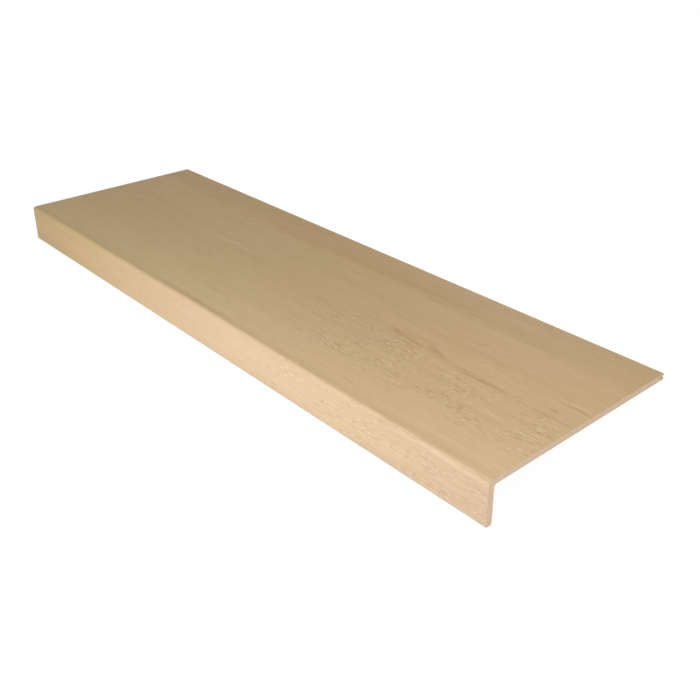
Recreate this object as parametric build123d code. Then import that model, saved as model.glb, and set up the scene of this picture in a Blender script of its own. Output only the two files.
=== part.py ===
"""A renovation stair tread: a thin board folded down at the front into a nose, laid over a worn step.

The tread is one piece. Its L-shaped section is drawn level, the way it sits on a step, and is carried
along the length. The piece is then tipped back to the pose it takes by itself on a level floor, where
it stands on the inner corner of the nose's foot and on the lower back edge.

Frame: +X along the tread, +Y from the nose to the back edge, +Z up, millimetres.
Origin: the middle of the bounding box, on the floor.
"""

from build123d import *
import math
import os

# Size of the tread
tread_length = 1000.0
tread_depth = 300.0
nose_height = 56.0

# Thickness of the stock: the board that is walked on, and the nose folded down from it
board_thickness = 8.0
nose_thickness = 8.0

# Outer bend of the nose, and the hollow left in the inner corner of the fold
nose_radius = 4.5
fold_fillet = 3.5

# Small bevel on the two cut edges of the decor: under the nose and along the back
arris_bevel = 0.5

# Groove in the back edge, at mid thickness, for a loose tongue or the lip of a wall trim
groove_height = 2.4
groove_depth = 6.0


def tread_section() -> Sketch:
    """Draws the L-shaped section, level, with the sharp front top corner at the origin.

    The sketch's own X runs from the nose to the back edge and its own Y runs up.
    """
    top_front = (0.0, 0.0)
    top_back = (tread_depth, 0.0)
    nose_foot = (0.0, -nose_height)
    inner_corner = (nose_thickness, -board_thickness)
    groove_middle = (tread_depth, -board_thickness / 2)

    with BuildSketch() as section:
        Rectangle(tread_depth, board_thickness, align=(Align.MIN, Align.MAX))
        Rectangle(nose_thickness, nose_height, align=(Align.MIN, Align.MAX))
        fillet(corner_at(section, top_front), radius=nose_radius)
        fillet(corner_at(section, inner_corner), radius=fold_fillet)
        chamfer([corner_at(section, top_back), corner_at(section, nose_foot)], length=arris_bevel)
        with Locations(groove_middle):
            Rectangle(2 * groove_depth, groove_height, mode=Mode.SUBTRACT)
    return section.sketch


def corner_at(section: BuildSketch, place: tuple[float, float]) -> Vertex:
    """Finds the corner of the section's outline that lies nearest to a place."""
    return section.vertices().sort_by_distance(place)[0]


def resting_tilt() -> float:
    """Works out, in degrees, how far the tread tips back until its back edge meets the floor.

    The nose's inner foot and the lower back edge touch the floor, so the tilt is that of the
    straight line between them.
    """
    rise = nose_height - board_thickness
    run = tread_depth - nose_thickness
    return math.degrees(math.atan2(rise, run))


def stair_tread() -> Part:
    """Carries the section along the tread and sets the piece down on the floor."""
    level = extrude(Plane.YZ * tread_section(), amount=tread_length / 2, both=True)
    tipped = Rot(X=-resting_tilt()) * level
    box = tipped.bounding_box()
    return Pos(-box.center().X, -box.center().Y, -box.min.Z) * tipped


os.makedirs("parts", exist_ok=True)
tread = stair_tread()
export_step(tread, "parts/stair_tread.step")

print(f"resting tilt {resting_tilt():.3f} degrees, volume {tread.volume / 1000:.1f} cubic centimetres")
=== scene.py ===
"""Dresses the renovation stair tread: a thin board bent down at the front into a nose, in light oak decor.

The tread is one piece. Its section is drawn level, as it sits on a step, carried along the length, and
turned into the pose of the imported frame, where it lies unheld on the nose's foot and the back edge.
All lengths are in metres.
"""

import logging
import math
from collections.abc import Sequence
from dataclasses import dataclass
from enum import Enum
from functools import reduce

import bpy
import numpy as np
from mathutils import Matrix, Vector


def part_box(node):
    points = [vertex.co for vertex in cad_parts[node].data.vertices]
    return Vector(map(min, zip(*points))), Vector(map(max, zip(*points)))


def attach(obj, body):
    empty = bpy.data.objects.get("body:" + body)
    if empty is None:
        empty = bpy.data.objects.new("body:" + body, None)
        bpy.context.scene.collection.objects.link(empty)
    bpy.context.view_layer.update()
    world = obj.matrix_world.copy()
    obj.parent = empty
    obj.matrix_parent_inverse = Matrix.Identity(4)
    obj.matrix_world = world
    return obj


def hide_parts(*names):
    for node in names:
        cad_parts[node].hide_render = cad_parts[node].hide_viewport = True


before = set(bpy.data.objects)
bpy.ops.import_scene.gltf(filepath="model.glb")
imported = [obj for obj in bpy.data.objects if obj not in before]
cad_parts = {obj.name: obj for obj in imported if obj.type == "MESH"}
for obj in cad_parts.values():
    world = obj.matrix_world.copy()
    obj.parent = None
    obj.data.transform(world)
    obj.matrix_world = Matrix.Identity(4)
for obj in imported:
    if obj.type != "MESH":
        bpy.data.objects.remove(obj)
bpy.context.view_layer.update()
NODE = "stair_tread"
DEVELOPED_MAP = "developed"
WHITE = (1.0, 1.0, 1.0, 1.0)

Material = bpy.types.Material
Tree = bpy.types.NodeTree
Node = bpy.types.Node
Socket = bpy.types.NodeSocket
Sockets = bpy.types.bpy_prop_collection
Input = Socket | float | tuple
Colour = tuple[float, float, float, float]
Waves = tuple[float, float]

log = logging.getLogger("tread")


class Zone(Enum):
    """What shows on a run of the section's outline. The value is the material's place in the mesh."""

    DECOR = 0
    CORE = 1
    BACKING = 2


@dataclass(frozen=True)
class TreadSizes:
    """Sizes of the tread, level, as in the part's source.

    The section's own axes run back from the nose's front (y) and up from the top face (z).
    """

    depth: float = 0.300
    nose_height: float = 0.056
    board: float = 0.008
    nose: float = 0.008
    nose_radius: float = 0.0045
    fold_fillet: float = 0.0035
    arris: float = 0.0005
    groove_height: float = 0.0024
    groove_depth: float = 0.006

    def tilt(self) -> float:
        """Angle, in radians, by which the tread tips back until its back edge meets the floor."""
        return math.atan2(self.nose_height - self.board, self.depth - self.nose)


@dataclass(frozen=True)
class RestPose:
    """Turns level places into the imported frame: a tilt about X, then a shift in Y and Z."""

    tilt: float
    shift_y: float
    shift_z: float

    @classmethod
    def from_frame(cls, sizes: TreadSizes, low: Vector, high: Vector) -> "RestPose":
        """Finds the pose that puts the tipped section into the node's box.

        Args:
            sizes: the tread's sizes.
            low: the lowest corner of the node's box.
            high: the highest corner of the node's box.

        Returns:
            The pose. The bevel under the nose and the one along the back are the section's
            foremost and rearmost edges, and the nose's inner foot stands on the floor.
        """
        level = cls(sizes.tilt(), 0.0, 0.0)
        edges = np.array([
            [0.0, 0.0, -sizes.nose_height + sizes.arris],
            [0.0, sizes.depth, -sizes.arris],
            [0.0, sizes.nose, -sizes.nose_height],
        ])
        front, back, foot = level.place(edges)
        return cls(level.tilt, (low.y + high.y) / 2 - (front[1] + back[1]) / 2, low.z - foot[2])

    def matrix(self) -> Matrix:
        """Gives the pose as a 4 x 4 matrix."""
        turn = Matrix.Rotation(-self.tilt, 4, "X")
        return Matrix.Translation((0.0, self.shift_y, self.shift_z)) @ turn

    def place(self, points: np.ndarray) -> np.ndarray:
        """Turns and shifts rows of level x, y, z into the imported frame."""
        turned = points @ np.array(Matrix.Rotation(-self.tilt, 3, "X")).T
        return turned + np.array([0.0, self.shift_y, self.shift_z])


@dataclass(frozen=True)
class Corner:
    """A corner of the section.

    Attributes:
        y: distance back from the nose's front.
        z: height over the top face.
        zone: what shows on the straight run that follows.
        radius: radius of the rounding.
        steps: number of facets in the rounding.
        arc_zone: what shows on the rounding, or None for the same as on the run that follows.
    """

    y: float
    z: float
    zone: Zone
    radius: float = 0.0003
    steps: int = 3
    arc_zone: Zone | None = None


@dataclass(frozen=True)
class Outline:
    """The section's closed outline, going round with the material on the left.

    Attributes:
        points: rows of y, z.
        zones: the zone's value for the edge that starts at each point.
        run: distance along the outline to each point, with the full length added at the end.
        inward: for each point, the step into the material that insets both its edges by one.
    """

    points: np.ndarray
    zones: np.ndarray
    run: np.ndarray
    inward: np.ndarray


def rounded_outline(corners: Sequence[Corner], hold: float, large: float) -> Outline:
    """Rounds the corners of a closed outline.

    A rounding's centre lies on the corner's bisector, and its facets swing evenly from one tangent
    point to the other: a point is the centre plus the two tangent spokes, weighted by the sines of
    the angles still to go and already gone.

    Args:
        corners: the corners, with the material on the left.
        hold: distance from a large rounding to the extra point that keeps the flat beside it flat.
        large: the least radius that gets such points.

    Returns:
        The outline.
    """
    places = np.array([(c.y, c.z) for c in corners])
    rows, zones = [], []
    for k, corner in enumerate(corners):
        here = places[k]
        to_last = places[k - 1] - here
        to_next = places[(k + 1) % len(corners)] - here
        to_last /= np.linalg.norm(to_last)
        to_next /= np.linalg.norm(to_next)
        half = math.acos(float(np.clip(to_last @ to_next, -1, 1))) / 2
        middle = (to_last + to_next) / np.linalg.norm(to_last + to_next)
        centre = here + middle * corner.radius / math.sin(half)
        reach = corner.radius / math.tan(half)
        spoke_in = here + to_last * reach - centre
        spoke_out = here + to_next * reach - centre
        sweep = math.pi - 2 * half
        gone = np.linspace(0, 1, corner.steps + 1)[:, None]
        spokes = spoke_in * np.sin((1 - gone) * sweep) + spoke_out * np.sin(gone * sweep)
        arc = centre + spokes / math.sin(sweep)
        arc_zone = (corner.arc_zone or corner.zone).value
        before = corners[k - 1].zone.value
        if corner.radius >= large:
            rows += [here + to_last * (reach + hold), *arc, here + to_next * (reach + hold)]
            zones += [before, *[arc_zone] * corner.steps, corner.zone.value, corner.zone.value]
        else:
            rows += [*arc]
            zones += [*[arc_zone] * corner.steps, corner.zone.value]
    points = np.array(rows)
    edges = np.roll(points, -1, axis=0) - points
    lengths = np.linalg.norm(edges, axis=1)
    left = np.stack([-edges[:, 1], edges[:, 0]], axis=1) / lengths[:, None]
    last_left = np.roll(left, 1, axis=0)
    inward = (left + last_left) / (1 + np.sum(left * last_left, axis=1))[:, None]
    return Outline(points, np.array(zones), np.concatenate([[0.0], np.cumsum(lengths)]), inward)


class TreadBoard:
    """The tread itself: the section carried along the length, with eased sawn ends."""

    end_ease = 0.0002
    # How far from a rounding an extra row keeps the flat beside it flat, and the least radius that has one
    hold = 0.0005
    large_radius = 0.002
    # Facets in each rounding, and sections between the eased ends
    end_steps = 3
    nose_steps = 14
    fillet_steps = 8
    arris_steps = 2
    middle_stations = 25
    # Faces that meet at less than this shade as one
    smooth_below = math.radians(40)

    def __init__(self, sizes: TreadSizes, pose: RestPose, length: float) -> None:
        """Keeps what the board is made from.

        Args:
            sizes: the section's sizes.
            pose: how the level board lies in the frame.
            length: the board's length along X.
        """
        self.sizes = sizes
        self.pose = pose
        self.length = length

    def outline(self) -> Outline:
        """Draws the section, from the top of the back edge forward over the nose and back underneath.

        Returns:
            The outline, with the arrises and the groove's edges slightly rounded.
        """
        s = self.sizes
        lip_top = -(s.board - s.groove_height) / 2
        lip_low = -(s.board + s.groove_height) / 2
        groove_floor = s.depth - s.groove_depth
        decor, core, backing = Zone.DECOR, Zone.CORE, Zone.BACKING
        corners = [
            Corner(s.depth - s.arris, 0.0, decor, steps=self.arris_steps, arc_zone=core),
            Corner(0.0, 0.0, decor, s.nose_radius, self.nose_steps),
            Corner(0.0, -s.nose_height + s.arris, core, steps=self.arris_steps),
            Corner(s.arris, -s.nose_height, core, steps=self.arris_steps),
            Corner(s.nose, -s.nose_height, backing, arc_zone=core),
            Corner(s.nose, -s.board, backing, s.fold_fillet, self.fillet_steps),
            Corner(s.depth, -s.board, core),
            Corner(s.depth, lip_low, core),
            Corner(groove_floor, lip_low, core),
            Corner(groove_floor, lip_top, core),
            Corner(s.depth, lip_top, core),
            Corner(s.depth, -s.arris, core, steps=self.arris_steps),
        ]
        return rounded_outline(corners, self.hold, self.large_radius)

    def stations(self) -> tuple[np.ndarray, np.ndarray]:
        """Works out where the section is repeated along X, and how far it is inset there.

        The last fifth of a millimetre follows a quarter circle, so that the sawn ends have an eased
        edge: the place goes with the sine of the angle and the inset with one less its cosine.

        Returns:
            The places along X, and the insets.
        """
        ease, half = self.end_ease, self.length / 2
        angle = np.linspace(math.pi / 2, 0, self.end_steps + 1)
        end_x = half - ease + ease * np.sin(angle)
        end_inset = ease * (1 - np.cos(angle))
        flat = half - ease - self.hold
        middle = np.linspace(-flat, flat, self.middle_stations)
        x = np.concatenate([-end_x, middle, end_x[::-1]])
        inset = np.concatenate([end_inset, np.zeros(len(middle)), end_inset[::-1]])
        return x, inset

    def developed(self, x: np.ndarray, outline: Outline) -> np.ndarray:
        """Unrolls the faces between the stations, so that the grain runs on over the nose.

        Args:
            x: the stations' places along X.
            outline: the section.

        Returns:
            For each corner of each face, metres along the tread and metres round the outline from
            the top of the back edge.
        """
        along = np.stack([x[:-1], x[:-1], x[1:], x[1:]], -1)[:, None, :]
        here, following = outline.run[:-1], outline.run[1:]
        around = np.stack([here, following, following, here], -1)[None]
        shape = (len(x) - 1, len(outline.points), 4)
        return np.stack([np.broadcast_to(along, shape), np.broadcast_to(around, shape)], -1).reshape(-1, 2)

    def build(self, finishes: Sequence[Material]) -> bpy.types.Object:
        """Builds the closed mesh with its developed map.

        Point j of the section at station k lies at the station's x, and at the outline's point moved
        inward by the station's inset.

        Args:
            finishes: one material for each Zone, in its order.

        Returns:
            The tread's object.
        """
        outline = self.outline()
        x, inset = self.stations()
        rounds, count = len(x), len(outline.points)
        section = outline.points[None] + inset[:, None, None] * outline.inward[None]
        level = np.concatenate([np.broadcast_to(x[:, None, None], (rounds, count, 1)), section], axis=2)
        level = level.reshape(-1, 3)

        first = np.arange(rounds - 1)[:, None] * count
        here, following = np.arange(count)[None], (np.arange(count)[None] + 1) % count
        quads = np.stack([first + here, first + following, first + count + following, first + count + here], -1)
        left_cap = np.arange(count)[::-1]
        right_cap = np.arange(count) + (rounds - 1) * count
        faces = [*quads.reshape(-1, 4).tolist(), left_cap.tolist(), right_cap.tolist()]
        mesh = bpy.data.meshes.new("oak_tread")
        mesh.from_pydata(self.pose.place(level).tolist(), [], faces)

        caps = level[np.concatenate([left_cap, right_cap]), 1:]
        flat_map = mesh.uv_layers.new(name=DEVELOPED_MAP)
        flat_map.data.foreach_set("uv", np.concatenate([self.developed(x, outline), caps]).ravel())
        zones = np.concatenate([np.tile(outline.zones, rounds - 1), [Zone.CORE.value] * 2])
        mesh.polygons.foreach_set("material_index", zones.astype(np.int32))
        for finish in finishes:
            mesh.materials.append(finish)
        self.shade(mesh, rounds, count)
        tread = bpy.data.objects.new("oak_tread", mesh)
        bpy.context.scene.collection.objects.link(tread)
        return tread

    def shade(self, mesh: bpy.types.Mesh, rounds: int, count: int) -> None:
        """Smooths the roundings, and keeps the bevels and the two sawn ends crisp.

        Args:
            mesh: the tread's mesh, with its points in rings of count.
            rounds: the number of rings.
            count: the number of points in a ring.
        """
        mesh.shade_smooth()
        mesh.set_sharp_from_angle(angle=self.smooth_below)
        ends = np.empty(len(mesh.edges) * 2, np.int32)
        mesh.edges.foreach_get("vertices", ends)
        ring = ends.reshape(-1, 2) // count
        on_cap = (ring[:, 0] == ring[:, 1]) & np.isin(ring[:, 0], (0, rounds - 1))
        sharp = mesh.attributes["sharp_edge"].data
        marks = np.empty(len(mesh.edges), bool)
        sharp.foreach_get("value", marks)
        sharp.foreach_set("value", marks | on_cap)
        mesh.update()


@dataclass(frozen=True)
class Ramp:
    """A soft step: it gives start up to low, end from high on, and eases between them."""

    low: float
    high: float
    start: float = 0.0
    end: float = 1.0


@dataclass(frozen=True)
class Swell:
    """Smooth noise that swings about zero.

    Attributes:
        along: its waves for each metre along the grain.
        across: its waves for each metre across the grain.
        layer: which layer of the noise it reads.
        detail: how many finer waves it carries.
        by: how far it swings, for each unit of plain noise.
        roughness: how strong the finer waves are.
    """

    along: float
    across: float
    layer: float
    detail: float = 2.0
    by: float = 1.0
    roughness: float = 0.55


@dataclass(frozen=True)
class Relief:
    """A bump: how strongly it shows, and the height that a value of one stands for."""

    strength: float
    height: float


class Graph:
    """Short calls that add linked nodes to a shader tree."""

    # The Mix node's sockets for colours
    mix_under, mix_over, mix_result = 6, 7, 2

    def __init__(self, tree: Tree) -> None:
        """Keeps the tree that nodes are added to."""
        self.tree = tree

    def fill(self, made: Node, inputs: dict[str | int, Input]) -> Node:
        """Links a node's inputs to other sockets, or sets their own values.

        Args:
            made: the node.
            inputs: a socket, number, vector or colour for each input, by its place or its name.

        Returns:
            The same node.
        """
        for name, value in inputs.items():
            socket = made.inputs[name]
            if isinstance(value, Socket):
                self.tree.links.new(value, socket)
            else:
                socket.default_value = value
        return made

    def node(self, kind: str, settings: dict | None = None, **inputs: Input) -> Node:
        """Adds a node.

        Args:
            kind: the node's type, without the leading ShaderNode.
            settings: properties of the node.
            inputs: values for its named inputs, with an underscore for each space.

        Returns:
            The node.
        """
        made = self.tree.nodes.new("ShaderNode" + kind)
        for name, value in (settings or {}).items():
            setattr(made, name, value)
        return self.fill(made, {name.replace("_", " "): value for name, value in inputs.items()})

    def group(self, group: Tree, **inputs: Input) -> Sockets:
        """Places a node group with its own values, and gives its results by name."""
        made = self.node("Group", {"node_tree": group})
        return self.fill(made, {name.replace("_", " "): value for name, value in inputs.items()}).outputs

    def math(self, operation: str, *values: Input, clamp: bool = False) -> Socket:
        """Adds a Math node and gives its result."""
        made = self.node("Math", {"operation": operation, "use_clamp": clamp})
        return self.fill(made, dict(enumerate(values))).outputs[0]

    def vector_math(self, operation: str, *values: Input) -> Node:
        """Adds a Vector Math node."""
        return self.fill(self.node("VectorMath", {"operation": operation}), dict(enumerate(values)))

    def add(self, *values: Input) -> Socket:
        """Adds up any number of values."""
        return reduce(lambda total, value: self.math("ADD", total, value), values)

    def product(self, *values: Input) -> Socket:
        """Multiplies any number of values."""
        return reduce(lambda total, value: self.math("MULTIPLY", total, value), values)

    def less(self, value: Input, taken: Input) -> Socket:
        """Takes one value from another."""
        return self.math("SUBTRACT", value, taken)

    def clamped(self, value: Input) -> Socket:
        """Keeps a value from 0 to 1."""
        return self.math("MULTIPLY", value, 1.0, clamp=True)

    def length(self, first: Input, second: Input) -> Socket:
        """Gives the root of the sum of two values' squares."""
        return self.math("SQRT", self.add(self.product(first, first), self.product(second, second)))

    def parts(self, vector: Input) -> tuple[Socket, ...]:
        """Splits a vector into x, y and z."""
        return tuple(self.node("SeparateXYZ", Vector=vector).outputs)

    def vector(self, x: Input, y: Input, z: Input = 0.0) -> Socket:
        """Joins x, y and z into a vector."""
        return self.node("CombineXYZ", X=x, Y=y, Z=z).outputs[0]

    def smooth(self, value: Input, ramp: Ramp) -> Socket:
        """Eases a value over a ramp."""
        return self.node("MapRange", {"interpolation_type": "SMOOTHSTEP"}, Value=value, From_Min=ramp.low,
                         From_Max=ramp.high, To_Min=ramp.start, To_Max=ramp.end).outputs[0]

    def noise(self, place: Input, detail: float, roughness: float, scale: Input = 1.0) -> Socket:
        """Gives smooth noise from 0 to 1."""
        return self.node("TexNoise", {"noise_dimensions": "3D"}, Vector=place, Scale=scale, Detail=detail,
                         Roughness=roughness).outputs["Fac"]

    def mapped(self, place: Input, **change: Input) -> Socket:
        """Moves, turns or scales a place."""
        return self.node("Mapping", {"vector_type": "POINT"}, Vector=place, **change).outputs[0]

    def swing(self, place: Input, swell: Swell) -> Socket:
        """Gives a swell at a flat place."""
        scaled = self.mapped(place, Location=(0.0, 0.0, swell.layer), Scale=(swell.along, swell.across, 1.0))
        return self.product(self.less(self.noise(scaled, swell.detail, swell.roughness), 0.5), swell.by)

    def blend(self, amount: Input, first: Input, second: Input, kind: str = "MIX") -> Socket:
        """Lays the second colour over the first, by an amount from 0 to 1."""
        made = self.node("Mix", {"data_type": "RGBA", "blend_type": kind}, Factor=amount)
        return self.fill(made, {self.mix_under: first, self.mix_over: second}).outputs[self.mix_result]


def new_group(name: str, vectors: Sequence[str], floats: Sequence[str], outputs: dict[str, str]
              ) -> tuple[Graph, Sockets, Node]:
    """Starts a shader node group.

    Args:
        name: the group's name.
        vectors: the names of its vector inputs.
        floats: the names of its number inputs.
        outputs: the kind of each named output, such as Float.

    Returns:
        The group's graph, the sockets that it is given, and the node that takes its results.
    """
    tree = bpy.data.node_groups.new(name, "ShaderNodeTree")
    inputs = dict.fromkeys(vectors, "Vector") | dict.fromkeys(floats, "Float")
    for way, sockets in (("INPUT", inputs), ("OUTPUT", outputs)):
        for label, kind in sockets.items():
            tree.interface.new_socket(name=label, in_out=way, socket_type="NodeSocket" + kind)
    return Graph(tree), tree.nodes.new("NodeGroupInput").outputs, tree.nodes.new("NodeGroupOutput")


class Effects:
    """The surface effects that the finishes share, each built once as a node group.

    A noise is given as its detail and roughness.
    """

    # The swells that carry the rings sideways, by their share of the wander
    ring_sway = (Swell(1.6, 2.5, 3.1, 1.0), Swell(12.0, 22.0, 7.7, 1.0, 0.5), Swell(34.0, 60.0, 5.3, 1.0, 0.12))
    # The rings' widths swing by so many rings, at so many waves for each ring
    width_swing = 1.5
    width_pace = 0.31
    # Each ring's strength, the most that is added at random, and how both fade away from the pith
    base_strength = 0.16
    drawn_strength = 0.84
    heart = Ramp(0.02, 0.09, 1.0, 0.3)
    # Pores are cut from noise here for a share of 0, and by so much lower for a share of 1
    pore_noise = (1.5, 0.45)
    pore_cut = 0.70
    pore_cut_fall = 0.14
    pore_edge = Ramp(0.0, 0.07)
    # A mark fades from its middle (0) to its rim (1)
    mark_edge = Ramp(0.2, 1.0, 1.0, 0.0)
    # For each width of streak, its waves against the given ones, its weight and its layer
    streak_layers = ((1.0, 0.6, 2.3), (4.3, 0.4, 5.9))
    streak_noise = (3.0, 0.6)
    # Pressed fibres: the flakes' weight over the cloud, and the cloud's waves for each flake
    flake_weight = 0.5
    cloud_waves = 0.12
    cloud_noise = (4.0, 0.65)

    def __init__(self) -> None:
        """Builds the groups."""
        self.rings = self.growth_rings()
        self.pores = self.open_pores()
        self.mark = self.lens_mark()
        self.streaks = self.fibre_streaks()
        self.speckle = self.pressed_fibres()

    def growth_rings(self) -> Tree:
        """Growth rings of a board sawn flat from a log.

        A ring is a shell about the pith, which runs at a slant behind the board, so its number is the
        distance to the pith over the ring's width. The distance is the root of the squares of the way
        across and of the pith's depth, and the way across wanders slowly along the board. Each ring
        has a base strength plus one of its own, drawn at random and squared, so that only a few stand
        out. Both fade with the way across from the pith.

        Returns:
            The group. It gives the phase within a ring, the ring's strength, and the place that
            follows the wandering fibres.
        """
        g, given, result = new_group(
            "Growth rings", ("Place",), ("Pith Across", "Pith Depth", "Lean", "Ring Width", "Wander"),
            {"Phase": "Float", "Strength": "Float", "Fibre Place": "Vector"},
        )
        along, followed, _ = g.parts(given["Place"])
        for swell in self.ring_sway:
            followed = g.add(followed, g.product(g.swing(given["Place"], swell), given["Wander"]))
        off = g.less(followed, given["Pith Across"])
        depth = g.add(given["Pith Depth"], g.product(along, given["Lean"]))
        number = g.math("DIVIDE", g.length(off, depth), given["Ring Width"])
        uneven = g.node("TexNoise", {"noise_dimensions": "1D"}, W=g.product(number, self.width_pace), Scale=1.0,
                        Detail=1.0)
        number = g.add(number, g.product(uneven.outputs["Fac"], self.width_swing))
        chance = g.node("TexWhiteNoise", {"noise_dimensions": "1D"}, W=g.math("FLOOR", number)).outputs["Value"]
        own = g.add(self.base_strength, g.product(g.math("POWER", chance, 2.0), self.drawn_strength))
        strength = g.product(own, g.smooth(g.math("ABSOLUTE", off), self.heart))
        g.fill(result, {"Phase": g.math("FRACT", number), "Strength": strength,
                        "Fibre Place": g.vector(along, followed)})
        return g.tree

    def open_pores(self) -> Tree:
        """Short dashes along the grain: noise drawn out along it and cut off high.

        Returns:
            The group. Its mask is 1 on the separate peaks that the cut leaves, more of them for a
            larger share.
        """
        g, given, result = new_group("Open pores", ("Place",), ("Along", "Across", "Layer", "Share"),
                                     {"Mask": "Float"})
        along, across, _ = g.parts(given["Place"])
        place = g.vector(g.product(along, given["Along"]), g.product(across, given["Across"]), given["Layer"])
        cut = g.math("MULTIPLY_ADD", given["Share"], -self.pore_cut_fall, self.pore_cut)
        g.fill(result, {"Mask": g.smooth(g.less(g.noise(place, *self.pore_noise), cut), self.pore_edge)})
        return g.tree

    def lens_mark(self) -> Tree:
        """One long thin lens.

        Returns:
            The group. Its mask is full in the middle, and gone where the offsets along and across,
            each over its own half size, have squares that add up to one.
        """
        g, given, result = new_group("Lens mark", ("Place", "Middle"), ("Half Length", "Half Width", "Fall"),
                                     {"Mask": "Float"})
        along, across, _ = g.parts(g.vector_math("SUBTRACT", given["Place"], given["Middle"]).outputs[0])
        reach = g.math("DIVIDE", along, given["Half Length"])
        side = g.math("DIVIDE", g.less(across, g.product(along, given["Fall"])), given["Half Width"])
        g.fill(result, {"Mask": g.smooth(g.length(reach, side), self.mark_edge)})
        return g.tree

    def fibre_streaks(self) -> Tree:
        """Long soft streaks: noise drawn out along the grain, at two widths that are added.

        Returns:
            The group. Its value swings about zero.
        """
        g, given, result = new_group("Fibre streaks", ("Place",), ("Along", "Across"), {"Value": "Float"})
        total: Input = 0.0
        for factor, weight, layer in self.streak_layers:
            waves = g.vector(g.product(given["Along"], factor), g.product(given["Across"], factor))
            place = g.vector_math("MULTIPLY_ADD", given["Place"], waves, (layer, layer, layer)).outputs[0]
            total = g.add(total, g.product(g.less(g.noise(place, *self.streak_noise), 0.5), weight))
        g.fill(result, {"Value": total})
        return g.tree

    def pressed_fibres(self) -> Tree:
        """Fine even fibres of pressed board or paper: short flakes over a soft cloud.

        Returns:
            The group. Its value swings about zero.
        """
        g, given, result = new_group("Pressed fibres", ("Place",), ("Size",), {"Value": "Float"})
        frequency = g.math("DIVIDE", 1.0, given["Size"])
        flakes = g.node("TexVoronoi", {"voronoi_dimensions": "3D"}, Vector=given["Place"], Scale=frequency)
        chance = g.node("SeparateColor", Color=flakes.outputs["Color"]).outputs[0]
        cloud = g.noise(given["Place"], *self.cloud_noise, g.product(frequency, self.cloud_waves))
        flake = g.product(g.less(chance, 0.5), self.flake_weight)
        g.fill(result, {"Value": g.add(flake, g.less(cloud, 0.5))})
        return g.tree


class Finish:
    """A material under construction, with its graph and its Principled shader."""

    def __init__(self, name: str) -> None:
        """Starts the material.

        Args:
            name: the material's name.
        """
        self.material = bpy.data.materials.new(name)
        self.material.use_nodes = True
        self.shader = self.material.node_tree.nodes["Principled BSDF"]
        self.graph = Graph(self.material.node_tree)

    def surface(self, colour: Input, roughness: Input, gloss: float, relief: Relief, height: Input) -> Material:
        """Feeds the shader.

        Args:
            colour: the base colour.
            roughness: how matt the surface is.
            gloss: the specular level.
            relief: the bump's strength and height.
            height: the value that the bump follows.

        Returns:
            The finished material.
        """
        bump = self.graph.node("Bump", Strength=relief.strength, Distance=relief.height, Height=height)
        self.graph.fill(self.shader, {"Base Color": colour, "Roughness": roughness, "Specular IOR Level": gloss,
                                      "Normal": bump.outputs[0]})
        return self.material


@dataclass(frozen=True)
class LensMark:
    """A long thin lens laid over the decor's colour: most are marks of its figure, and a few along the rounded
    nose edge are painted shade and a painted highlight.

    Its middle lies along from the tread's middle and across from the back edge. The share says how
    much of its colour shows, and the fall how far it drifts across for each metre along.
    """

    along: float
    across: float
    half_length: float
    half_width: float
    share: float
    fall: float = 0.0


@dataclass(frozen=True)
class Dash:
    """A kind of short dash: its noise's waves a metre and its layer, and how much of its colour shows."""

    along: float
    across: float
    layer: float
    share: float


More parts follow.
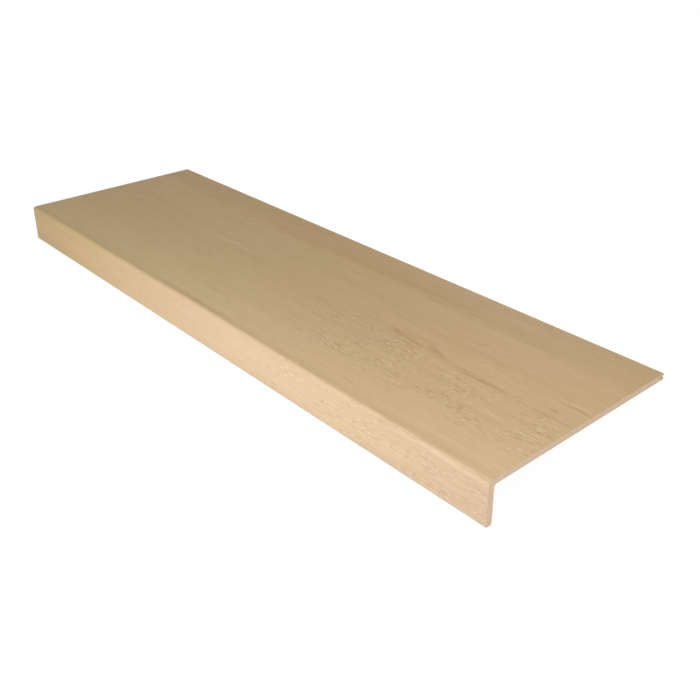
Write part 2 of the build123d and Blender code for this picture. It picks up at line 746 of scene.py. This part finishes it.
@dataclass(frozen=True)
class OakDecor:
    """Light oak decor of the walked face and the nose, satin, with fine open pores along the length.

    The figure is plainer at the left end and livelier at the right end and on the nose. Painted light makes the
    colour a little yellower at the left end and paler and bluer at the right end and on the nose, as under a
    cooler light there, and paints shade and a highlight along the rounded nose edge. Ramps run over metres
    along or across, a ring's phase, or a swell.
    """

    # The ground's lightest and darkest, and what is laid over it; the vein and fleck colours also paint shade
    # and a highlight along the rounded nose edge
    light: Colour = (0.735, 0.512, 0.264, 1.0)
    dark: Colour = (0.590, 0.396, 0.187, 1.0)
    vein_and_edge_shade: Colour = (0.455, 0.268, 0.107, 1.0)
    pore: Colour = (0.455, 0.243, 0.105, 1.0)
    fleck_and_edge_highlight: Colour = (0.825, 0.650, 0.365, 1.0)
    blush: Colour = (0.735, 0.470, 0.255, 1.0)

    # Where the nose starts, and how lively the figure is along the tread and on the nose
    nose_from: Ramp = Ramp(0.285, 0.305)
    lively: Ramp = Ramp(-0.25, 0.4, 0.5, 1.5)
    nose_lively: float = 0.3

    # The pith's place, round from the back edge and behind the face, and the rings about it
    pith_across: float = 0.151
    pith_depth: float = 0.0362
    lean: float = -0.020
    ring_width: float = 0.0052
    wander: float = 0.030

    # Early wood, and the dark line of late wood with its soft and its sharp side
    early: Ramp = Ramp(0.0, 0.45, 1.0, 0.0)
    late_rise: Ramp = Ramp(0.76, 0.92)
    late_fall: Ramp = Ramp(0.94, 1.0, 1.0, 0.0)
    late_share: float = 0.45

    # The late lines come and go, and are weaker on the back side of the pith
    late_patches: Swell = Swell(4.0, 24.0, 41.0)
    patch_left: Ramp = Ramp(-0.16, 0.14, 0.35, 1.0)
    past_pith: Ramp = Ramp(-0.01, 0.01, 0.4, 1.0)

    # The ground's shade: an even part, and what each of the others adds
    base_shade: float = 0.45
    early_shade: float = 0.06
    broad: Swell = Swell(0.9, 11.0, 21.0, by=0.5)
    bands: Swell = Swell(2.2, 45.0, 27.0, by=0.45)
    streak_waves: Waves = (3.5, 150.0)
    streak_shade: float = 0.75
    fibre_waves: Waves = (26.0, 1300.0)
    fibre_shade: float = 0.5

    # The darker band along the back edge, and the paler one before the bend
    back_sway: Swell = Swell(3.0, 6.0, 12.0, by=0.02)
    back_band: Ramp = Ramp(0.045, 0.062, 1.0, 0.0)
    back_shade: float = 0.28
    front_rise: Ramp = Ramp(0.225, 0.262)
    front_fall: Ramp = Ramp(0.282, 0.292, 1.0, 0.0)
    front_shade: Ramp = Ramp(-0.4, 0.4, -0.1, -0.28)

    # Pinker patches
    blushes: Swell = Swell(2.6, 26.0, 33.0)
    blush_edge: Ramp = Ramp(0.02, 0.24)
    blush_share: float = 0.38

    # Fine pores: how many there are, more of them on early wood and in groups
    pores: Dash = Dash(42.0, 900.0, 1.7, 0.25)
    pores_at_least: float = 0.35
    early_pores: float = 0.2
    group_pores: float = 0.3

    # Coarser dashes, in groups: most in a belt before the main vein and on the nose, at the right
    dark_dashes: Dash = Dash(110.0, 520.0, 4.3, 0.42)
    pale_dashes: Dash = Dash(110.0, 520.0, 8.9, 0.50)
    groups: Swell = Swell(20.0, 50.0, 55.0, 1.0)
    group_edge: Ramp = Ramp(-0.12, 0.06)
    belt_rise: Ramp = Ramp(0.155, 0.172)
    belt_fall: Ramp = Ramp(0.24, 0.262, 1.0, 0.0)
    belt_along: Ramp = Ramp(0.0, 0.2, 0.1, 1.0)
    belt_dashes: float = 0.7
    nose_dashes: float = 0.56
    dashes_at_least: float = 0.3

    # Slow changes of the colour, as factors on it: painted light, a little yellower at the left end and the
    # back and paler and bluer at the right end, towards the front and on the nose's right part, as under a
    # cooler light there, and a slightly cooler patch in the middle of the top
    left: Colour = (1.0, 1.0, 0.97, 1.0)
    right: Colour = (0.99, 1.0, 1.06, 1.0)
    left_to_right: Ramp = Ramp(-0.5, 0.5)
    back: Colour = (1.0, 0.985, 0.97, 1.0)
    front: Colour = (1.0, 1.03, 1.07, 1.0)
    back_to_front: Ramp = Ramp(0.05, 0.3)
    middle: Colour = (0.985, 1.017, 1.035, 1.0)
    middle_along: float = -0.08
    middle_fade: Ramp = Ramp(0.12, 0.38, 1.0, 0.0)
    middle_from: Ramp = Ramp(0.04, 0.08)
    nose_left: Colour = (0.99, 0.97, 0.90, 1.0)
    nose_right: Colour = (0.98, 0.985, 1.12, 1.0)
    nose_to_right: Ramp = Ramp(-0.5, 0.1)

    # The satin surface: pores and fibres are rougher, and the bump follows them and the late wood
    roughness: float = 0.5
    pore_matt: float = 0.12
    fibre_matt: float = 0.10
    gloss: float = 0.2
    relief: Relief = Relief(0.35, 0.0001)
    pore_height: float = -1.0
    fibre_height: float = 0.5
    late_height: float = -0.3

    # Marks that stand out, bent by a swell and broken up by the finest fibres; the last dark ones are painted
    # shade along the rounded nose edge, and the last pale one is a painted highlight on it
    mark_sway: Swell = Swell(22.0, 30.0, 3.3, 1.0, 0.008)
    mark_breaks: Ramp = Ramp(-0.12, 0.08, 0.6, 1.0)
    dark_marks_and_edge_shade: tuple[LensMark, ...] = (
        LensMark(0.223, 0.1545, 0.012, 0.0060, 0.48, 0.25),
        LensMark(0.247, 0.1660, 0.032, 0.0026, 0.45),
        LensMark(0.292, 0.1560, 0.030, 0.0058, 0.58, 0.26),
        LensMark(0.372, 0.1670, 0.055, 0.0034, 0.60, 0.03),
        LensMark(0.475, 0.1690, 0.038, 0.0028, 0.40),
        LensMark(0.466, 0.1550, 0.009, 0.0055, 0.50),
        LensMark(0.482, 0.1360, 0.034, 0.0028, 0.55),
        LensMark(0.258, 0.0520, 0.018, 0.0030, 0.40),
        LensMark(0.196, 0.0570, 0.016, 0.0036, 0.40),
        LensMark(0.238, 0.1875, 0.020, 0.0020, 0.40),
        LensMark(0.485, 0.2000, 0.028, 0.0022, 0.55),
        LensMark(-0.150, 0.1545, 0.014, 0.0050, 0.25, 0.30),
        LensMark(-0.107, 0.1530, 0.016, 0.0045, 0.22),
        LensMark(-0.222, 0.0600, 0.014, 0.0045, 0.25),
        LensMark(-0.100, 0.0590, 0.110, 0.0030, 0.18),
        LensMark(-0.035, 0.2530, 0.050, 0.0070, 0.18),
        # Painted shade: a dark line along the top just behind the rounded nose edge, then darker on the edge's
        # upper part in the right half
        LensMark(-0.020, 0.2910, 0.160, 0.0040, 0.28),
        LensMark(0.300, 0.2978, 0.320, 0.0036, 0.30),
    )
    pale_marks_and_edge_highlight: tuple[LensMark, ...] = (
        LensMark(0.365, 0.1385, 0.055, 0.0026, 0.32),
        LensMark(0.480, 0.1305, 0.034, 0.0024, 0.38),
        LensMark(0.480, 0.2130, 0.032, 0.0026, 0.45),
        LensMark(0.425, 0.2110, 0.018, 0.0022, 0.38),
        LensMark(-0.150, 0.1400, 0.090, 0.0030, 0.22),
        # Painted highlight on the lower part of the rounded nose edge, towards the right end
        LensMark(0.430, 0.3030, 0.120, 0.0036, 0.32),
    )

    def material(self, effects: Effects) -> Material:
        """Builds the material on the developed map."""
        return OakFigure(self, effects).material()


class OakFigure:
    """The decor's figure, laid out flat on the developed map and built up from the ground."""

    def __init__(self, oak: OakDecor, effects: Effects) -> None:
        """Lays the decor out and runs the growth rings through it.

        Args:
            oak: the decor's colours and sizes.
            effects: the shared node groups.
        """
        self.oak, self.effects = oak, effects
        self.finish = Finish("oak_decor")
        self.g = g = self.finish.graph
        self.place = g.node("UVMap", {"uv_map": DEVELOPED_MAP}).outputs[0]
        self.along, self.across, _ = g.parts(self.place)
        self.on_nose = g.smooth(self.across, oak.nose_from)
        self.lively = g.add(g.smooth(self.along, oak.lively), g.product(self.on_nose, oak.nose_lively))
        rings = g.group(effects.rings, Place=self.place, Pith_Across=oak.pith_across, Pith_Depth=oak.pith_depth,
                        Lean=oak.lean, Ring_Width=oak.ring_width, Wander=oak.wander)
        phase, self.fibre = rings["Phase"], rings["Fibre Place"]
        past = g.less(g.parts(self.fibre)[1], oak.pith_across)
        self.early = g.smooth(phase, oak.early)
        self.late = g.product(g.smooth(phase, oak.late_rise), g.smooth(phase, oak.late_fall), rings["Strength"],
                              g.smooth(g.swing(self.fibre, oak.late_patches), oak.patch_left),
                              g.smooth(past, oak.past_pith))
        self.streaks, self.fibres = (
            g.group(effects.streaks, Place=self.fibre, Along=waves[0], Across=waves[1])["Value"]
            for waves in (oak.streak_waves, oak.fibre_waves)
        )

    def ground(self) -> Socket:
        """Colours the ground, from light to dark, with its pinker patches and its late wood.

        Returns:
            The colour.
        """
        g, oak = self.g, self.oak
        back_edge = g.add(self.across, g.swing(self.place, oak.back_sway))
        shade = g.add(
            oak.base_shade,
            g.product(self.early, oak.early_shade),
            g.swing(self.fibre, oak.broad),
            g.swing(self.fibre, oak.bands),
            g.product(g.smooth(back_edge, oak.back_band), oak.back_shade),
            g.product(g.smooth(self.across, oak.front_rise), g.smooth(self.across, oak.front_fall),
                      g.smooth(self.along, oak.front_shade)),
            g.product(self.streaks, oak.streak_shade, self.lively),
            g.product(self.fibres, oak.fibre_shade),
        )
        wood = g.blend(g.clamped(shade), oak.light, oak.dark)
        pink = g.smooth(g.swing(self.fibre, oak.blushes), oak.blush_edge)
        wood = g.blend(g.product(pink, oak.blush_share), wood, oak.blush)
        return g.blend(g.clamped(g.product(self.late, self.lively, oak.late_share)), wood, oak.vein_and_edge_shade)

    def marked(self, wood: Input) -> Socket:
        """Lays the marks over the wood: the dark ones with the painted shade along the rounded nose edge, then
        the pale ones with the painted highlight on it.

        Args:
            wood: the colour underneath.

        Returns:
            The colour with the marks.
        """
        g, oak = self.g, self.oak
        place = g.vector(self.along, g.add(self.across, g.swing(self.place, oak.mark_sway)))
        broken = g.smooth(self.fibres, oak.mark_breaks)
        for marks, colour in ((oak.dark_marks_and_edge_shade, oak.vein_and_edge_shade), (oak.pale_marks_and_edge_highlight, oak.fleck_and_edge_highlight)):
            shares = []
            for mark in marks:
                lens = g.group(self.effects.mark, Place=place, Middle=(mark.along, mark.across, 0.0),
                               Half_Length=mark.half_length, Half_Width=mark.half_width, Fall=mark.fall)
                shares.append(g.product(lens["Mask"], mark.share))
            wood = g.blend(g.clamped(g.product(g.add(*shares), broken)), wood, colour)
        return wood

    def dashed(self, wood: Input) -> tuple[Socket, Socket]:
        """Lays the fine pores and the coarser dashes over the wood.

        Args:
            wood: the colour underneath.

        Returns:
            The colour with the dashes, and the mask of the fine pores.
        """
        g, oak = self.g, self.oak
        belt = g.product(g.smooth(self.across, oak.belt_rise), g.smooth(self.across, oak.belt_fall))
        belt = g.add(g.product(belt, oak.belt_dashes), g.product(self.on_nose, oak.nose_dashes),
                     oak.dashes_at_least)
        groups = g.smooth(g.swing(self.fibre, oak.groups), oak.group_edge)
        lit = g.product(groups, g.product(belt, g.smooth(self.along, oak.belt_along)))
        many = g.add(oak.pores_at_least, g.product(self.early, oak.early_pores),
                     g.product(groups, oak.group_pores))
        pores, dark, pale = (
            g.group(self.effects.pores, Place=self.fibre, Along=dash.along, Across=dash.across,
                    Layer=dash.layer, Share=share)["Mask"]
            for dash, share in ((oak.pores, many), (oak.dark_dashes, lit), (oak.pale_dashes, lit))
        )
        wood = g.blend(g.product(pores, oak.pores.share), wood, oak.pore)
        wood = g.blend(g.product(dark, lit, oak.dark_dashes.share), wood, oak.pore)
        return g.blend(g.product(pale, lit, oak.pale_dashes.share), wood, oak.fleck_and_edge_highlight), pores

    def light_and_tone_drift(self) -> Socket:
        """Multiplies the slow changes of the colour: the painted light's warmer and cooler tints, and the
        cooler patch in the middle of the top.

        Returns:
            The factors on the decor's colour.
        """
        g, oak = self.g, self.oak
        lengthwise = g.blend(g.smooth(self.along, oak.left_to_right), oak.left, oak.right)
        crosswise = g.blend(g.smooth(self.across, oak.back_to_front), oak.back, oak.front)
        off_middle = g.math("ABSOLUTE", g.less(self.along, oak.middle_along))
        amount = g.product(g.smooth(off_middle, oak.middle_fade), g.smooth(self.across, oak.middle_from),
                           g.less(1.0, self.on_nose))
        tone = g.blend(1.0, lengthwise, crosswise, "MULTIPLY")
        tone = g.blend(1.0, tone, g.blend(amount, WHITE, oak.middle), "MULTIPLY")
        nose = g.blend(g.smooth(self.along, oak.nose_to_right), oak.nose_left, oak.nose_right)
        return g.blend(self.on_nose, tone, nose, "MULTIPLY")

    def material(self) -> Material:
        """Puts the figure together.

        Returns:
            The finished material.
        """
        g, oak = self.g, self.oak
        wood, pores = self.dashed(self.marked(self.ground()))
        # Painted light: the warmer and cooler tints of the slow colour changes go onto the decor here
        colour = g.blend(1.0, wood, self.light_and_tone_drift(), "MULTIPLY")
        matt = g.add(oak.roughness, g.product(pores, oak.pore_matt), g.product(self.fibres, oak.fibre_matt))
        height = g.add(g.product(pores, oak.pore_height), g.product(self.fibres, oak.fibre_height),
                       g.product(self.late, oak.late_height))
        return self.finish.surface(colour, matt, oak.gloss, oak.relief, height)


@dataclass(frozen=True)
class FibreboardCore:
    """The pale pressed core, bare where the board is sawn, with the decor's edge as a thin line."""

    # The flakes: their size, their even shade between light and dark, and their swing about it
    light: Colour = (0.810, 0.620, 0.455, 1.0)
    dark: Colour = (0.650, 0.480, 0.345, 1.0)
    flake: float = 0.0006
    flake_base: float = 0.4
    flake_swing: float = 0.6
    # The decor's edge: its depth, the part of that from which it fades, and how much of it shows
    skin: Colour = (0.430, 0.300, 0.160, 1.0)
    skin_depth: float = 0.00035
    skin_fade: float = 0.7
    skin_share: float = 0.8
    roughness: float = 0.85
    gloss: float = 0.15
    relief: Relief = Relief(0.5, 0.0001)

    def material(self, effects: Effects, sizes: TreadSizes, pose: RestPose) -> Material:
        """Builds the material.

        Args:
            effects: the shared node groups.
            sizes: the tread's sizes, for the depth under the decor.
            pose: how the tread lies, to read level places from the object's own.

        Returns:
            The material. The depth under the decor is the nose radius less the distance to the
            radius's centre line, with the parts behind and below that line cut to zero, and less the
            larger of the two where both are beyond it.
        """
        finish = Finish("fibreboard_core")
        g = finish.graph
        own = g.node("TexCoord").outputs["Object"]
        back = pose.matrix().inverted()
        level = g.mapped(own, Location=tuple(back.to_translation()), Rotation=tuple(back.to_euler()))
        _, behind, high = g.parts(level)
        ahead = g.less(sizes.nose_radius, behind)
        above = g.add(high, sizes.nose_radius)
        outer = g.length(g.math("MAXIMUM", ahead, 0.0), g.math("MAXIMUM", above, 0.0))
        inner = g.math("MINIMUM", g.math("MAXIMUM", ahead, above), 0.0)
        depth = g.less(sizes.nose_radius, g.add(outer, inner))
        line = g.smooth(depth, Ramp(self.skin_depth * self.skin_fade, self.skin_depth, 1.0, 0.0))
        grain = g.group(effects.speckle, Place=own, Size=self.flake)["Value"]
        amount = g.math("MULTIPLY_ADD", grain, self.flake_swing, self.flake_base, clamp=True)
        colour = g.blend(g.product(line, self.skin_share), g.blend(amount, self.light, self.dark), self.skin)
        return finish.surface(colour, self.roughness, self.gloss, self.relief, grain)


@dataclass(frozen=True)
class BackingSheet:
    """The plain balancing paper under the board and behind the nose."""

    # The shade between light and dark: an even part, and the swing of the fibres and the streaks
    light: Colour = (0.520, 0.400, 0.265, 1.0)
    dark: Colour = (0.400, 0.295, 0.185, 1.0)
    base: float = 0.45
    flake: float = 0.0009
    fibre_swing: float = 0.35
    streak_waves: Waves = (6.0, 60.0)
    streak_swing: float = 0.5
    roughness: float = 0.75
    gloss: float = 0.2
    relief: Relief = Relief(0.3, 0.00005)

    def material(self, effects: Effects) -> Material:
        """Builds the material: even fibres with faint streaks from the paper's making.

        Args:
            effects: the shared node groups.

        Returns:
            The material.
        """
        finish = Finish("backing_sheet")
        g = finish.graph
        place = g.node("UVMap", {"uv_map": DEVELOPED_MAP}).outputs[0]
        fibres = g.group(effects.speckle, Place=place, Size=self.flake)["Value"]
        streaks = g.group(effects.streaks, Place=place, Along=self.streak_waves[0],
                          Across=self.streak_waves[1])["Value"]
        amount = g.add(self.base, g.product(fibres, self.fibre_swing), g.product(streaks, self.streak_swing))
        colour = g.blend(g.clamped(amount), self.light, self.dark)
        return finish.surface(colour, self.roughness, self.gloss, self.relief, fibres)


@dataclass(frozen=True)
class Lamp:
    """A square softbox, turned to the tread's middle: its place, its power in watts and its tint."""

    place: tuple[float, float, float]
    power: float
    tint: tuple[float, float, float] = (1.0, 1.0, 1.0)


class Studio:
    """White floor and surroundings, and softboxes round the tread."""

    floor_half = 20.0
    floor_albedo = 0.8
    # The share of plain diffuse that takes the tread's shadow, how far out it fades, and how much
    # brighter the rest glows there to keep the floor white
    shadow_share = 0.18
    clear_from = 0.6
    clear_to = 1.2
    make_up = 0.8
    # The surroundings as a light
    ambient = 0.25
    ambient_tint = (1.0, 1.0, 0.94, 1.0)
    lamp_width = 0.6
    lamps = (
        Lamp((0.12, -0.9, 0.25), 4.6, (0.96, 1.0, 1.1)),
        Lamp((0.6, -0.5, 1.0), 5.8),
        Lamp((1.4, 0.0, 0.6), 4.3),
        Lamp((-0.3, 1.3, 0.25), 1.5),
    )

    def seen(self, g: Graph) -> Socket:
        """Tells what is seen from what lights the tread.

        Args:
            g: the graph of the floor's material or of the world.

        Returns:
            1 for what the camera sees, also in a gloss or through glass, and 0 for the light.
        """
        path = g.node("LightPath").outputs
        total = g.add(path["Is Camera Ray"], path["Is Glossy Ray"], path["Is Transmission Ray"])
        return g.math("MINIMUM", total, 1.0)

    def floor_material(self) -> Material:
        """Makes the floor's finish: white to the eye, with a share of plain diffuse near the tread.

        Returns:
            The material.
        """
        material = bpy.data.materials.new("studio_floor")
        material.use_nodes = True
        g = Graph(material.node_tree)
        material.node_tree.nodes.clear()
        away = g.vector_math("LENGTH", g.node("TexCoord").outputs["Object"]).outputs["Value"]
        share = g.smooth(away, Ramp(self.clear_from, self.clear_to, self.shadow_share, 0.0))
        diffuse = g.node("BsdfDiffuse", Color=(self.floor_albedo,) * 3 + (1.0,))
        glow = g.node("Emission", Color=WHITE, Strength=g.math("MULTIPLY_ADD", share, self.make_up, 1.0))
        mix = g.node("MixShader", Fac=g.product(self.seen(g), g.less(1.0, share)))
        g.fill(mix, {1: diffuse.outputs[0], 2: glow.outputs[0]})
        g.node("OutputMaterial", Surface=mix.outputs[0])
        return material

    def floor(self) -> None:
        """Lays the floor."""
        h = self.floor_half
        mesh = bpy.data.meshes.new("floor")
        mesh.from_pydata([(-h, -h, 0), (h, -h, 0), (h, h, 0), (-h, h, 0)], [], [(0, 1, 2, 3)])
        mesh.materials.append(self.floor_material())
        floor = bpy.data.objects.new("floor", mesh)
        bpy.context.scene.collection.objects.link(floor)

    def surroundings(self) -> None:
        """Sets a white world, seen at full strength and lighting the tread at the ambient level."""
        world = bpy.data.worlds.new("surroundings")
        world.use_nodes = True
        bpy.context.scene.world = world
        g = Graph(world.node_tree)
        seen = self.seen(g)
        strength = g.math("MULTIPLY_ADD", seen, 1.0 - self.ambient, self.ambient)
        background = world.node_tree.nodes["Background"]
        g.fill(background, {"Color": g.blend(seen, self.ambient_tint, WHITE), "Strength": strength})

    def softboxes(self) -> None:
        """Hangs the lamps, each facing the tread's middle and out of the camera's sight."""
        for number, lamp in enumerate(self.lamps, 1):
            light = bpy.data.lights.new(f"softbox_{number}", "AREA")
            light.shape, light.size = "SQUARE", self.lamp_width
            light.energy, light.color = lamp.power, lamp.tint
            holder = bpy.data.objects.new(f"softbox_{number}", light)
            holder.location = lamp.place
            holder.rotation_mode = "QUATERNION"
            holder.rotation_quaternion = (-Vector(lamp.place)).to_track_quat("-Z", "Y")
            holder.visible_camera = False
            bpy.context.scene.collection.objects.link(holder)


@dataclass(frozen=True)
class PhotoView:
    """Where the photograph was taken from, against the level tread, in its 700 x 700 picture.

    Attributes:
        azimuth: degrees round from the nose side towards the right end.
        elevation: degrees above the top face.
        roll: degrees that the picture is turned.
        distance: from the camera to the plane through the aim.
        aim_right: how far the tread's origin lies right of the lens axis.
        aim_up: how far it lies above that axis.
        focal: focal length in pixels.
        axis_column: the picture column of the lens axis.
        axis_row: its picture row.
        picture: the picture's width and height in pixels.
        sensor: the sensor's width in millimetres.
    """

    azimuth: float = 48.1526
    elevation: float = 26.0558
    roll: float = -0.0668
    distance: float = 1.21303
    aim_right: float = -0.21340
    aim_up: float = -0.00815
    focal: float = 930.07
    axis_column: float = 362.0
    axis_row: float = 300.0
    picture: float = 700.0
    sensor: float = 36.0

    def camera(self, pose: RestPose) -> None:
        """Makes the scene's camera and carries it into the tread's resting pose.

        Args:
            pose: how the level tread lies in the frame.
        """
        turn, rise, roll = (math.radians(v) for v in (self.azimuth, self.elevation, self.roll))
        back = Vector((math.sin(turn) * math.cos(rise), -math.cos(turn) * math.cos(rise), math.sin(rise)))
        level_right = (-back).cross(Vector((0.0, 0.0, 1.0))).normalized()
        level_up = level_right.cross(-back)
        right = math.cos(roll) * level_right + math.sin(roll) * level_up
        up = math.cos(roll) * level_up - math.sin(roll) * level_right
        stand = Matrix((right, up, back)).transposed().to_4x4()
        stand.translation = back * self.distance - right * self.aim_right - up * self.aim_up
        data = bpy.data.cameras.new("photo_camera")
        data.sensor_width = self.sensor
        data.lens = self.focal / self.picture * self.sensor
        data.shift_x = (self.picture / 2 - self.axis_column) / self.picture
        data.shift_y = (self.axis_row - self.picture / 2) / self.picture
        camera = bpy.data.objects.new("photo_camera", data)
        camera.matrix_world = pose.matrix() @ stand
        bpy.context.scene.collection.objects.link(camera)
        bpy.context.scene.camera = camera


def main() -> None:
    """Builds the tread, its finishes and the studio."""
    logging.basicConfig(level=logging.INFO, format="%(name)s: %(message)s")
    low, high = (Vector(corner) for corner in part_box(NODE))
    sizes = TreadSizes()
    pose = RestPose.from_frame(sizes, low, high)
    effects = Effects()
    finishes = [
        OakDecor().material(effects),
        FibreboardCore().material(effects, sizes, pose),
        BackingSheet().material(effects),
    ]
    tread = TreadBoard(sizes, pose, high.x - low.x).build(finishes)
    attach(tread, "root")
    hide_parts(NODE)
    log.info("oak_tread: %d faces, tilted %.2f degrees", len(tread.data.polygons), math.degrees(pose.tilt))
    studio = Studio()
    studio.floor()
    studio.surroundings()
    studio.softboxes()
    PhotoView().camera(pose)
    bpy.context.scene.view_settings.view_transform = "Standard"
    log.info("studio: floor, surroundings, %d softboxes and the camera", len(studio.lamps))


if __name__ == "__main__":
    main()
